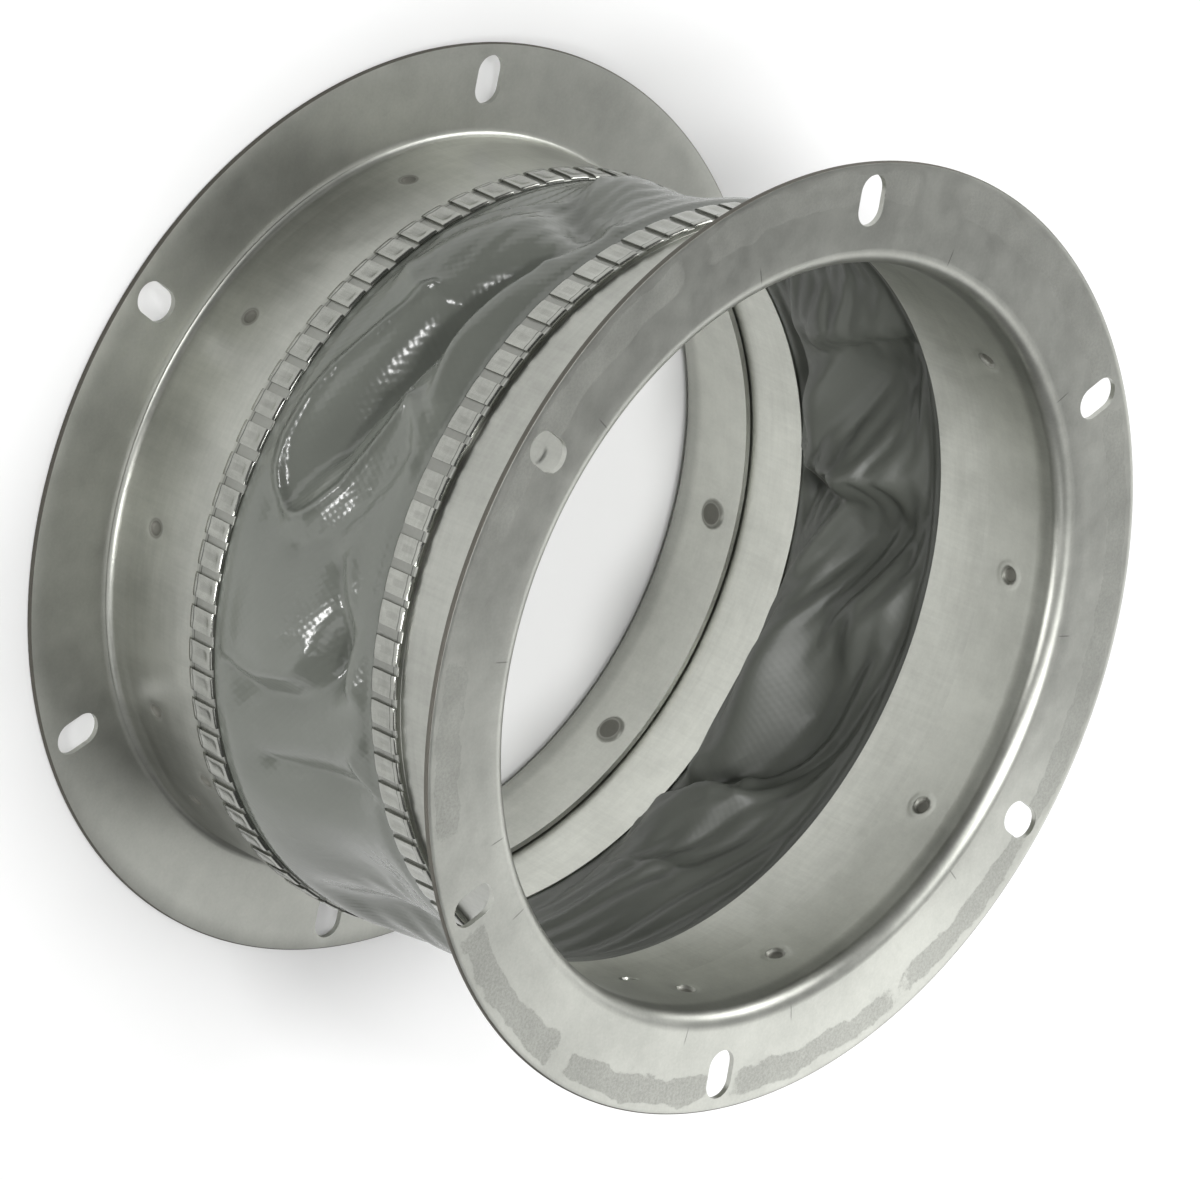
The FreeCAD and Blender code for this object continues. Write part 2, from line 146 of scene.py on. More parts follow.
# Clinch points as pressed into each wall: dents as (depth, flat radius, outer radius) and a low ring round
# them as (height, radius, width), where plus is away from the duct's axis
CLINCH_DENTS = {
    "front_collar": {"inside": ((1.1, 1.6, 2.6),), "outside": ((0.9, 2.6, 3.6),)},
    "back_collar": {"inside": ((-0.7, 3.6, 4.3), (0.25, 2.0, 3.0)), "outside": ((-1.6, 3.0, 3.4),)},
    "front_sleeve": {"inside": ((0.85, 2.9, 3.3),), "outside": ((0.6, 2.6, 4.2), (-0.15, 1.4, 2.4))},
    "back_sleeve": {"inside": ((-2.0, 2.7, 3.1),), "outside": ((-0.5, 1.2, 2.0),)},
}
CLINCH_RINGS = {
    "front_collar": {"inside": (0.1, 3.2, 0.7)},
    "back_sleeve": {"outside": (-0.06, 2.4, 0.7)},
}

# Marks of the front flange's face, in its own turns and radii: patches left by a gasket as (from, to,
# softness, strength), and scores of the forming tool beside the bend
STAIN_IN = 117.2
STAIN_OUT = 125.0
STAIN_PATCHES = (
    (-178, -151, 1.5, 1.0), (-148, -123, 2, 1.0), (-109, -87, 2, 1.0), (-72, -32, 2, 1.0), (-28, 8, 2, 1.0),
    (17, 60, 4, 0.85), (63, 120, 3, 1.0), (120, 148, 5, 0.8), (148, 178, 3, 0.75),
)
SCORES_AT = (18.4, 55.6, 94, 132.4, 167.2, 188.4, 233.6, 246.4, 272.8, 307.6, 340)

# Finish of each zinc surface: tones outside and inside as (dark, light), the lighter inside tones being
# painted light on the inner walls, roughness and its spread, strength of the streaks, and waviness in
# millimetres
ZINC_FINISH_AND_PAINTED_LIGHT = {
    "front_flange": ((0.33, 0.52), (0.5, 0.7), 0.34, 0.12, 0.07, 0.15),
    "back_flange": ((0.34, 0.5), (0.42, 0.62), 0.46, 0.1, 0.07, 0.15),
    "front_sleeve": ((0.29, 0.43), (0.47, 0.68), 0.31, 0.14, 0.15, 0.3),
    "front_seam": ((0.26, 0.44), (0.26, 0.44), 0.24, 0.16, 0.2, 0.5),
    "back_sleeve": ((0.36, 0.52), (0.47, 0.68), 0.34, 0.14, 0.14, 0.3),
    "back_seam": ((0.26, 0.44), (0.26, 0.44), 0.24, 0.16, 0.2, 0.5),
}
HATCH_HEIGHT = 0.012
# Darker grey of the clinch points' middles and of a thin ring round each
CLINCH_TONE = (0.13, 0.125, 0.105, 1)
BARE_EDGE = (0.1, 0.09, 0.075, 1)

# Radius up to which a ring's metal counts as seen from inside, and the ends in the order that they are built
INSIDE_LIMIT = SLEEVE_IN + SHEET / 8
RINGS_BUILT = ("front", "back")

# Camera fitted to the photograph: its place in metres, its picture's right and down, and its lens
VIEW_FROM = (0.5216555, 1.3602482, 1.4006973)
VIEW_RIGHT = (0.18907295, -0.72078283, 0.66687595)
VIEW_DOWN = (-0.94569822, 0.04919921, 0.32130098)
VIEW_LENS = 226.66

# Soft lights as (name, place, target, size, power) in metres and watts; the last is a faint panel that makes
# up for the pale ground under the open bore
LIGHTS = (
    ("overhead", (0.15, 0.1, 2.4), (0, 0, 0), (1.0, 1.0), 33),
    ("lamp", (0.55, 0.85, 1.75), (0, 0, 0.07), (0.25, 0.25), 9),
    ("front_strip", (-0.3, 1.2, 0.35), (0, 0, 0.07), (0.3, 0.15), 6),
    ("left_card", (-1.0, 0.9, 1.1), (0, 0, 0.07), (0.6, 0.6), 2.2),
    ("far_card", (1.0, -0.9, 0.6), (0, 0, 0.07), (0.6, 0.6), 9),
    ("side_card", (-0.1, -1.2, 0.5), (0, 0, 0.1), (0.8, 0.6), 2.7),
    ("face_card", (-0.27, -0.38, 0.42), (-0.1, -0.08, 0.14), (0.25, 0.25), 0.38),
    ("ground_panel", (0, 0, 0.004), (0, 0, 1), (0.13, 0.13), 0.016),
)

# Folds, one row each: the turn round the cloth, the place between the back seam, 0, and the front seam, 1,
# the reach round in degrees, the reach along, the lean in degrees over the whole length, and the height
FOLDS = (
    (6, 0.46, 7, 0.24, 6, 0.4),
    (19, 0.62, 4.5, 0.22, 10, -0.55),
    (32, 0.34, 10, 0.24, -30, 0.45),
    (42, 0.61, 7, 0.15, -70, -0.75),
    (42, 0.85, 12, 0.1, 0, 0.25),
    (63, 0.42, 7.5, 0.24, -60, -0.45),
    (95, 0.38, 7, 0.22, 0, 0.32),
    (96, 0.78, 4.5, 0.1, -40, -0.5),
    (106, 0.36, 4, 0.3, -6, -0.3),
    (118, 0.56, 4, 0.34, 0, -0.3),
    (140, 0.6, 10, 0.3, 0, -0.35),
    (156, 0.45, 8, 0.36, 10, -0.6),
    (172, 0.55, 7, 0.3, -8, 0.5),
    (189, 0.62, 8, 0.32, 12, 0.45),
    (205, 0.4, 8, 0.3, 0, -0.6),
    (221, 0.38, 5.5, 0.34, 14, -1.1),
    (236, 0.6, 8, 0.26, 10, 0.55),
    (249, 0.24, 15, 0.17, 0, -1.25),
    (259, 0.66, 6, 0.26, -6, -0.75),
    (272, 0.55, 6.5, 0.3, 8, 0.55),
    (284, 0.52, 5.5, 0.32, -8, -0.9),
    (297, 0.24, 7, 0.2, 10, -0.95),
    (298, 0.66, 6, 0.24, 0, 0.5),
    (310, 0.5, 5, 0.34, -4, -0.9),
    (325, 0.4, 7, 0.3, 8, 0.5),
    (341, 0.6, 7, 0.3, -8, -0.7),
    (355, 0.45, 7, 0.32, 6, -0.35),
)

# Creases too sharp for the folds above, pressed into the cloth once it hangs: the height and the width of the
# flanks in millimetres, how round the edge is, and points of a turn and a place
CREASES = (
    (1.6, 1.6, 0.8, ((41, 0.4), (46, 0.32), (51, 0.25), (56.5, 0.18), (62, 0.135), (68, 0.125), (72.5, 0.15),
                     (75.3, 0.19), (77.2, 0.24), (78.2, 0.295), (78.4, 0.35), (77.8, 0.41), (76.4, 0.465),
                     (73, 0.56), (67.5, 0.64), (63, 0.69), (59, 0.73))),
    (-3.5, 5.0, 1.5, ((34, 0.76), (42, 0.68), (47.5, 0.6), (53, 0.53), (60, 0.47), (67, 0.44))),
    (2.8, 3.0, 0.8, ((32, 0.82), (38.5, 0.8), (44, 0.79), (49.5, 0.8), (54, 0.84), (58, 0.88))),
    (2.2, 2.5, 0.6, ((58.5, 0.75), (62.5, 0.87), (67.5, 0.9))),
    (-2.4, 3.5, 1.5, ((66, 0.86), (74.5, 0.71), (80, 0.57), (82.5, 0.42))),
    (2.0, 2.5, 1.0, ((39.5, 0.2), (42, 0.33), (42, 0.48), (40.5, 0.6))),
    (1.2, 2.0, 0.8, ((30, 0.08), (24, 0.14), (19.5, 0.26), (16, 0.36))),
    (1.6, 2.0, 0.8, ((9, 0.38), (12, 0.45), (17, 0.62), (18.5, 0.74), (20.5, 0.88))),
    (2.0, 2.5, 0.8, ((82.5, 0.77), (87, 0.82), (93, 0.85), (101, 0.88))),
    (-2.6, 3.0, 1.0, ((84, 0.68), (90, 0.75), (100, 0.74))),
    (-2.0, 2.5, 1.0, ((103, 0.12), (106, 0.3), (105.5, 0.5), (102, 0.66))),
    (1.6, 2.0, 0.8, ((100, 0.12), (102, 0.3), (101, 0.5), (97, 0.62))),
    (-1.6, 2.0, 1.0, ((117, 0.3), (118, 0.5), (118, 0.7), (117.5, 0.9))),
    (1.0, 1.6, 0.8, ((109, 0.9), (112, 0.84), (115, 0.88), (117, 0.95))),
    (-2.0, 3.0, 0.8, ((209, 0.6), (206.5, 0.2))),
    (-4.5, 3.0, 0.6, ((229, 0.5), (225.5, 0.56), (223.5, 0.35), (219.5, 0.14), (217, 0.03))),
    (3.0, 3.5, 1.5, ((233, 0.42), (230, 0.25), (226, 0.12))),
    (-1.8, 2.0, 0.6, ((239, 0.7), (235.5, 0.62), (232, 0.52))),
    (2.2, 4.0, 2.0, ((256, 0.85), (249, 0.62), (244, 0.55))),
    (-6.0, 4.5, 0.6, ((281.5, 0.46), (276, 0.34), (270, 0.22), (264, 0.1), (253.5, 0.05), (241.5, 0.07),
                      (230, 0.1))),
    (2.0, 4.0, 2.0, ((278, 0.62), (268, 0.82))),
    (4.5, 3.5, 1.5, ((280, 0.06), (278, 0.25), (278, 0.42))),
    (-4.5, 4.0, 0.8, ((287, 0.02), (284.5, 0.22), (284.5, 0.41), (281.5, 0.69))),
    (4.0, 4.5, 1.5, ((298, 0.14), (304, 0.3), (305.5, 0.6), (304, 0.9))),
)


def smooth(low, high, x):
    """Smooth step from 0 at low to 1 at high, for numbers and arrays."""
    share = np.clip((x - low) / (high - low), 0, 1)
    return share * share * (3 - 2 * share)


def arc(centre, radius, start, end, steps):
    """Points of an arc in a section, between two angles in degrees."""
    angles = np.radians(np.linspace(start, end, steps + 1))
    return [(centre[0] + radius * math.cos(t), centre[1] + radius * math.sin(t)) for t in angles]


def line(start, end, step):
    """Points from start up to, but without, end, about one step apart."""
    count = max(1, round(math.dist(start, end) / step))
    return [(start[0] + (end[0] - start[0]) * i / count, start[1] + (end[1] - start[1]) * i / count)
            for i in range(count)]


def link(name, mesh, material):
    piece = bpy.data.objects.new(name, mesh)
    bpy.context.scene.collection.objects.link(piece)
    mesh.materials.append(material)
    return piece


def clinches(end, in_collar):
    """Clinch points of one end as (turn, height); the collar lacks the stray one."""
    turns = CLINCH_TURNS[end]
    row = [(turn, CLINCH_HEIGHT) for turn in turns[:-1]]
    return row if in_collar else row + [(turns[-1], STRAY_HEIGHT)]


def turn_steps(end, coarse=1.0, fine=0.25, reach=3.0):
    """Turns for the lines of a round piece: coarse ones, and fine ones across each clinch point."""
    turns = list(np.arange(0, 360, coarse))
    for centre, _ in clinches(end, False):
        turns = [turn for turn in turns if abs((turn - centre + 180) % 360 - 180) > reach]
        turns += list(np.arange(centre - reach, centre + reach + fine / 2, fine) % 360)
    return np.array(sorted(turns))


def dimple(points, turn, height, radius):
    """Distance along the wall from each clinch point, for arrays of turns and heights; the nearest wins."""
    away = np.full(turn.shape, 1e3)
    for centre, level in points:
        across = np.radians((turn - centre + 180) % 360 - 180) * radius
        away = np.minimum(away, np.hypot(across, height - level))
    return away


def relief(wall, side, away):
    """Shape of the clinch points on one side of a wall, by the distance from the nearest."""
    total = 0
    for depth, flat, outer in CLINCH_DENTS[wall][side]:
        total = total + depth * (1 - smooth(flat, outer, away))
    ring = CLINCH_RINGS.get(wall, {}).get(side)
    if ring:
        height, middle, width = ring
        total = total + height * np.exp(-((away - middle) / width) ** 2)
    return total


def lathe(name, section, turns, ring, material, shape):
    """Closed section turned round the ring's axis; shape(turn, radius, height) adds to the radius."""
    section = np.array(section)
    turn = np.radians(turns)[:, None]
    radius = section[None, :, 0] + 0 * turn
    height = section[None, :, 1] + 0 * turn
    radius = radius + shape(np.degrees(turn) + 0 * radius, radius, height)
    corners = np.stack((radius * np.cos(turn), radius * np.sin(turn), height), axis=-1).reshape(-1, 3)
    rows, columns = len(turns), len(section)
    index = np.arange(rows * columns).reshape(rows, columns)
    after = np.roll(index, -1, axis=0)
    quads = np.stack((index, np.roll(index, -1, axis=1), np.roll(after, -1, axis=1), after), axis=-1)
    mesh = bpy.data.meshes.new(name)
    mesh.from_pydata((corners * MM).tolist(), [], quads.reshape(-1, 4).tolist())
    mesh.transform(scaled(ring))
    face_outwards(mesh)
    return link(name, mesh, material)


def scaled(ring):
    """A ring's matrix with its place in metres."""
    matrix = ring.copy()
    matrix.translation = ring.translation * MM
    return matrix


def face_outwards(mesh):
    """Turn the faces outwards and shade them smooth, apart from sharp corners."""
    made = bmesh.new()
    made.from_mesh(mesh)
    bmesh.ops.recalc_face_normals(made, faces=made.faces)
    made.to_mesh(mesh)
    made.free()
    mesh.shade_smooth()
    mesh.set_sharp_from_angle(angle=math.radians(32))


def wobble(turn, height, size, seed):
    """Slight unevenness of rolled sheet, in millimetres."""
    t = np.radians(turn)
    waves = sum(np.sin(k * t + seed * k + height * 0.02 * (k % 3 - 1)) / k for k in (2, 3, 5, 7, 11))
    return size * waves


def finish_piece(piece, node):
    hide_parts(node)
    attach(piece, "root")


def flange(end, material):
    """Pressed ring with its bend, flared root and collar, its slots and its clinch points."""
    bend_middle = (BEND, BEND_RADIUS)
    root = (BORE + FLARE, BEND_RADIUS)
    section = (
        arc((RIM - RIM_ROUND, SHEET - RIM_ROUND), RIM_ROUND, 90, 0, 3)
        + arc((RIM - RIM_ROUND, RIM_ROUND), RIM_ROUND, 0, -90, 3)
        + line((RIM - RIM_ROUND - 1, 0), (BEND, 0), 4)
        + arc(bend_middle, BEND_RADIUS, 270, 180, 14)[:-1]
        + line(root, (BORE, FLARE_END), 1.0)
        + line((BORE, FLARE_END), (BORE, COLLAR_END), 0.45)
        + [(BORE, COLLAR_END), (COLLAR, COLLAR_END)]
        + line((COLLAR, COLLAR_END - 2), (COLLAR, FLARE_END), 0.9)
        + arc(bend_middle, BEND_RADIUS - SHEET, 180, 270, 8)
        + line((BEND + 2, SHEET), (RIM - RIM_ROUND, SHEET), 5)
    )
    points = clinches(end, True)

    def shape(turn, radius, height):
        away = dimple(points, turn, height, BORE)
        inner = (radius < BORE + 0.6) & (height > FLARE_END - 1)
        outer = (radius > COLLAR - 0.1) & (radius < COLLAR + 0.1) & (height > FLARE_END - 1)
        collar = smooth(FLARE_END - 3, FLARE_END + 2, height)
        uneven = wobble(turn, height, COLLAR_WOBBLE, 1.3) * collar
        return inner * relief(f"{end}_collar", "inside", away) + outer * relief(
            f"{end}_collar", "outside", away) + uneven

    piece = lathe(f"{end}_flange_ring", section, turn_steps(end), RINGS[end], material, shape)
    cut_slots(piece, end)
    finish_piece(piece, f"{end}_flange")


def cut_slots(piece, end):
    """Cut the radial bolt slots through a flange's face."""
    half_turn = [math.pi * i / 16 - math.pi / 2 for i in range(17)]
    outline = [(SLOT_CIRCLE + SLOT_HALF_STRAIGHT + SLOT_HALF_WIDTH * math.cos(angle),
                SLOT_HALF_WIDTH * math.sin(angle)) for angle in half_turn]
    outline += [(2 * SLOT_CIRCLE - x, -y) for x, y in outline]
    made = bmesh.new()
    for index in range(SLOT_COUNT):
        turn = Matrix.Rotation(math.tau * index / SLOT_COUNT, 4, "Z")
        low = [made.verts.new(turn @ Vector((x * MM, y * MM, -2 * MM))) for x, y in outline]
        face = made.faces.new(low)
        moved = bmesh.ops.extrude_face_region(made, geom=[face])["geom"]
        corners = [item for item in moved if isinstance(item, bmesh.types.BMVert)]
        bmesh.ops.translate(made, vec=(0, 0, 6 * MM), verts=corners)
    bmesh.ops.recalc_face_normals(made, faces=made.faces)
    mesh = bpy.data.meshes.new("slots")
    made.to_mesh(mesh)
    made.free()
    mesh.transform(scaled(RINGS[end]))
    cutter = bpy.data.objects.new("slots", mesh)
    bpy.context.scene.collection.objects.link(cutter)
    cut = piece.modifiers.new("slots", "BOOLEAN")
    cut.object = cutter
    cut.solver = "EXACT"
    apply_modifiers(piece)
    bpy.data.objects.remove(cutter)
    piece.data.set_sharp_from_angle(angle=math.radians(32))


def apply_modifiers(piece):
    """Turn a piece into a plain mesh with its modifiers applied."""
    bpy.context.view_layer.update()
    graph = bpy.context.evaluated_depsgraph_get()
    mesh = bpy.data.meshes.new_from_object(piece.evaluated_get(graph))
    piece.modifiers.clear()
    piece.data = mesh


def sleeve(end, metal, seam_metal):
    """Rolled band with its curled lip, the folded hem and the row of tabs over it."""
    middle = (BEND, BEND_RADIUS)
    lip_in = BEND - SLEEVE_IN
    lip_out = BEND - SLEEVE_OUT
    floor = SEAM_NEAR + 1
    section = (
        arc(middle, lip_in, 180 + LIP_ANGLE, 180, 8)
        + line((SLEEVE_IN, WALL_START), (SLEEVE_IN, WALL_END), 0.6)
        + line((SLEEVE_IN, WALL_END), (SLEEVE_IN, SEAM_FAR), 2)
        + [(SLEEVE_IN, SEAM_FAR - 0.1), (SLEEVE_IN + 0.1, SEAM_FAR), (SLEEVE_OUT, SEAM_FAR)]
        + [(SLEEVE_OUT, floor), (HEM_IN, floor), (HEM_IN, SEAM_FAR)]
        + arc((HEM_OUT - HEM_ROUND, SEAM_FAR - HEM_ROUND), HEM_ROUND, 90, 0, 5)
        + arc((HEM_OUT - HEM_ROUND, SEAM_NEAR + HEM_ROUND), HEM_ROUND, 0, -90, 5)
        + [(SLEEVE_OUT + 0.1, SEAM_NEAR), (SLEEVE_OUT, SEAM_NEAR - 0.1)]
        + line((SLEEVE_OUT, WALL_END), (SLEEVE_OUT, WALL_START), 0.6)
        + arc(middle, lip_out, 180, 180 + LIP_ANGLE, 8)
    )
    points = clinches(end, False)

    def shape(turn, radius, height):
        away = dimple(points, turn, height, SLEEVE_OUT)
        wall = (height > WALL_START) & (height < WALL_END + 2)
        inner = wall & (radius < SLEEVE_IN + 0.2)
        outer = wall & (radius > SLEEVE_OUT - 0.2) & (radius < SLEEVE_OUT + 0.2)
        free = smooth(WALL_START, 14, height) * (1 - smooth(30, WALL_END + 2, height))
        uneven = wobble(turn, height, SLEEVE_WOBBLE, 2.1) * free
        return inner * relief(f"{end}_sleeve", "inside", away) + outer * relief(
            f"{end}_sleeve", "outside", away) + uneven

    band = lathe(f"{end}_sleeve_band", section, turn_steps(end), RINGS[end], metal, shape)
    finish_piece(band, f"{end}_sleeve")
    tabs = seam_tabs(end, seam_metal)
    finish_piece(tabs, f"{end}_sleeve")


class Nodes:
    """Short way to add nodes to a tree and join them."""

    def __init__(self, tree):
        self.tree = tree

    def add(self, kind, **settings):
        node = self.tree.nodes.new(kind)
        for key, value in settings.items():
            setattr(node, key, value)
        return node

    def put(self, socket, value):
        """Give an input a value, or join it to another node's output."""
        if isinstance(value, bpy.types.NodeSocket):
            self.tree.links.new(value, socket)
        else:
            socket.default_value = value

    def math(self, operation, *values):
        node = self.add("ShaderNodeMath", operation=operation)
        for socket, value in zip(node.inputs, values):
            self.put(socket, value)
        return node.outputs[0]

    def smooth(self, low, high, value):
        node = self.add("ShaderNodeMapRange", interpolation_type="SMOOTHSTEP", clamp=True)
        for name, given in (("Value", value), ("From Min", low), ("From Max", high)):
            self.put(node.inputs[name], given)
        return node.outputs["Result"]

    def split(self, vector):
        node = self.add("ShaderNodeSeparateXYZ")
        self.put(node.inputs[0], vector)
        return node.outputs

    def join(self, x, y, z):
        node = self.add("ShaderNodeCombineXYZ")
        for socket, value in zip(node.inputs, (x, y, z)):
            self.put(socket, value)
        return node.outputs[0]


def tab_tree(material):
    """Geometry nodes: a row of rounded, slightly dished tabs round the seam, one of them narrow."""
    tree = bpy.data.node_groups.new("seam_tabs", "GeometryNodeTree")
    face = tree.interface
    face.new_socket("Geometry", in_out="OUTPUT", socket_type="NodeSocketGeometry")
    sizes = (("Tab Count", "NodeSocketInt", TAB_COUNT), ("Narrow Pitch", "NodeSocketFloat", NARROW_PITCH),
             ("Share", "NodeSocketFloat", TAB_SHARE), ("Root", "NodeSocketFloat", TAB_ROOT),
             ("Rise", "NodeSocketFloat", TAB_OUT - TAB_ROOT), ("Near", "NodeSocketFloat", SEAM_NEAR),
             ("Width", "NodeSocketFloat", SEAM_FAR - SEAM_NEAR), ("Fold", "NodeSocketFloat", TAB_FOLD),
             ("Fold Drop", "NodeSocketFloat", TAB_DROP), ("Dish", "NodeSocketFloat", TAB_DISH),
             ("Seed", "NodeSocketInt", 7))
    for name, kind, value in sizes:
        face.new_socket(name, in_out="INPUT", socket_type=kind).default_value = value
    n = Nodes(tree)
    size = n.add("NodeGroupInput").outputs
    cube = n.add("GeometryNodeMeshCube")
    n.put(cube.inputs["Size"], (2.0, 2.0, 2.0))
    for axis, count in (("X", 2), ("Y", 9), ("Z", 17)):
        cube.inputs[f"Vertices {axis}"].default_value = count
    x, y, z = n.split(n.add("GeometryNodeInputPosition").outputs[0])
    pitch = n.math("DIVIDE", n.math("SUBTRACT", 360.0, size["Narrow Pitch"]),
                   n.math("SUBTRACT", size["Tab Count"], 1.0))
    half_width = n.math("DIVIDE", size["Width"], 2.0)
    level = n.math("MULTIPLY", half_width, n.math("SINE", n.math("MULTIPLY", z, math.pi / 2)))
    past = n.math("SUBTRACT", n.math("ABSOLUTE", level), n.math("SUBTRACT", half_width, size["Fold"]))
    past = n.math("DIVIDE", n.math("MAXIMUM", past, 0.0), size["Fold"])
    drop = n.math("SUBTRACT", 1.0, n.math("SQRT", n.math("MAXIMUM", n.math(
        "SUBTRACT", 1.0, n.math("MULTIPLY", past, past)), 0.0)))
    drop = n.math("MULTIPLY", drop, size["Fold Drop"])
    dished = n.math("MULTIPLY", n.math("SUBTRACT", 1.0, n.smooth(0.25, 0.75, n.math("ABSOLUTE", y))),
                    n.math("SUBTRACT", 1.0, n.smooth(0.2, 0.6, n.math("ABSOLUTE", z))))
    edge = n.math("MULTIPLY", n.smooth(0.72, 1.0, n.math("ABSOLUTE", y)), 0.12)
    lowered = n.math("ADD", n.math("ADD", drop, n.math("MULTIPLY", dished, size["Dish"])), edge)
    top = n.math("SUBTRACT", n.math("ADD", size["Root"], size["Rise"]), lowered)
    outside = n.math("GREATER_THAN", x, 0.0)
    radius = n.math("ADD", n.math("MULTIPLY", outside, top),
                    n.math("MULTIPLY", n.math("SUBTRACT", 1.0, outside), size["Root"]))
    turn = n.math("RADIANS", n.math("MULTIPLY", y, n.math("MULTIPLY", size["Share"],
                                                        n.math("DIVIDE", pitch, 2.0))))
    height = n.math("ADD", n.math("ADD", size["Near"], half_width), level)
    place = n.add("GeometryNodeSetPosition")
    n.put(place.inputs["Geometry"], cube.outputs["Mesh"])
    n.put(place.inputs["Position"], n.join(n.math("MULTIPLY", radius, n.math("COSINE", turn)),
                                           n.math("MULTIPLY", radius, n.math("SINE", turn)), height))
    row = n.add("GeometryNodePoints")
    n.put(row.inputs["Count"], size["Tab Count"])
    n.put(row.inputs["Position"], (0.0, 0.0, 0.0))
    index = n.add("GeometryNodeInputIndex").outputs[0]
    narrow = n.math("COMPARE", index, 0.0, 0.1)
    first = n.math("DIVIDE", n.math("ADD", size["Narrow Pitch"], pitch), 2.0)
    degrees = n.math("ADD", first, n.math("MULTIPLY", n.math("SUBTRACT", index, 1.0), pitch))
    degrees = n.math("MULTIPLY", degrees, n.math("SUBTRACT", 1.0, narrow))
    jitter = n.add("FunctionNodeRandomValue", data_type="FLOAT")
    n.put(jitter.inputs[2], -TAB_JITTER)
    n.put(jitter.inputs[3], TAB_JITTER)
    n.put(jitter.inputs["Seed"], size["Seed"])
    degrees = n.math("ADD", degrees, jitter.outputs[1])
    squeeze = n.math("DIVIDE", size["Narrow Pitch"], pitch)
    across = n.math("ADD", n.math("MULTIPLY", narrow, squeeze), n.math("SUBTRACT", 1.0, narrow))
    copies = n.add("GeometryNodeInstanceOnPoints")
    n.put(copies.inputs["Points"], row.outputs[0])
    n.put(copies.inputs["Instance"], place.outputs[0])
    n.put(copies.inputs["Rotation"], n.join(0.0, 0.0, n.math("RADIANS", degrees)))
    n.put(copies.inputs["Scale"], n.join(1.0, across, 1.0))
    solid = n.add("GeometryNodeRealizeInstances")
    n.put(solid.inputs[0], copies.outputs[0])
    paint = n.add("GeometryNodeSetMaterial")
    n.put(paint.inputs["Geometry"], solid.outputs[0])
    paint.inputs["Material"].default_value = material
    n.put(n.add("NodeGroupOutput").inputs[0], paint.outputs[0])
    return tree


def seam_tabs(end, material):
    """The tabs of one seam as a plain mesh, turned to their place on the ring."""
    maker = bpy.data.objects.new("tab_maker", bpy.data.meshes.new("tab_maker"))
    bpy.context.scene.collection.objects.link(maker)
    maker.modifiers.new("tabs", "NODES").node_group = tab_tree(material)
    apply_modifiers(maker)
    mesh = maker.data
    bpy.data.objects.remove(maker)
    mesh.transform(Matrix.Rotation(math.radians(SEAM_TURN[end]), 4, "Z"))
    mesh.transform(Matrix.Scale(MM, 4))
    mesh.transform(scaled(RINGS[end]))
    face_outwards(mesh)
    mesh.materials.clear()
    return link(f"{end}_seam_tabs", mesh, material)


def new_material(name):
    material = bpy.data.materials.new(name)
    material.use_nodes = True
    tree = material.node_tree
    shader = tree.nodes["Principled BSDF"]
    return material, Nodes(tree), shader


def ring_space(n, end):
    """Object coordinates in the ring's frame in millimetres, as (vector, turn in degrees, radius, height)."""
    mapping = n.add("ShaderNodeMapping", vector_type="TEXTURE")
    n.put(mapping.inputs["Vector"], n.add("ShaderNodeTexCoord").outputs["Object"])
    ring = scaled(RINGS[end])
    mapping.inputs["Location"].default_value = ring.translation
    mapping.inputs["Rotation"].default_value = ring.to_euler()
    mapping.inputs["Scale"].default_value = (MM, MM, MM)
    x, y, z = n.split(mapping.outputs[0])
    radius = n.math("SQRT", n.math("ADD", n.math("MULTIPLY", x, x), n.math("MULTIPLY", y, y)))
    turn = n.math("DEGREES", n.math("ARCTAN2", y, x))
    return mapping.outputs[0], turn, radius, z


def noise(n, vector, scale, detail=3.0, roughness=0.55):
    node = n.add("ShaderNodeTexNoise")
    n.put(node.inputs["Vector"], vector)
    n.put(node.inputs["Scale"], scale)
    n.put(node.inputs["Detail"], detail)
    n.put(node.inputs["Roughness"], roughness)
    return node.outputs["Fac"]


def stretched(n, vector, x, y, z):
    """Coordinates scaled by axis, so that a noise runs longer along the axes with small numbers."""
    node = n.add("ShaderNodeVectorMath", operation="MULTIPLY")
    n.put(node.inputs[0], vector)
    n.put(node.inputs[1], (x, y, z))
    return node.outputs[0]


def blend_colours(n, share, low, high):
    node = n.add("ShaderNodeMix", data_type="RGBA")
    n.put(node.inputs["Factor"], share)
    n.put(node.inputs["A"], low)
    n.put(node.inputs["B"], high)
    return node.outputs["Result"]


def grey(level, green=0.015, blue=0.065):
    """Slightly warm and green grey."""
    return (level, level * (1 + green), level * (1 - blue), 1)


def window(n, low, high, soft, value):
    """1 between two values, fading to 0 over a soft edge."""
    rise = n.smooth(low - soft, low + soft, value)
    fall = n.smooth(high - soft, high + soft, value)
    return n.math("MULTIPLY", rise, n.math("SUBTRACT", 1.0, fall))


def bumped(n, shader, height, strength=1.0):
    """Bump from a height in millimetres."""
    bump = n.add("ShaderNodeBump")
    n.put(bump.inputs["Height"], height)
    bump.inputs["Distance"].default_value = MM
    bump.inputs["Strength"].default_value = strength
    n.put(shader.inputs["Normal"], bump.outputs[0])


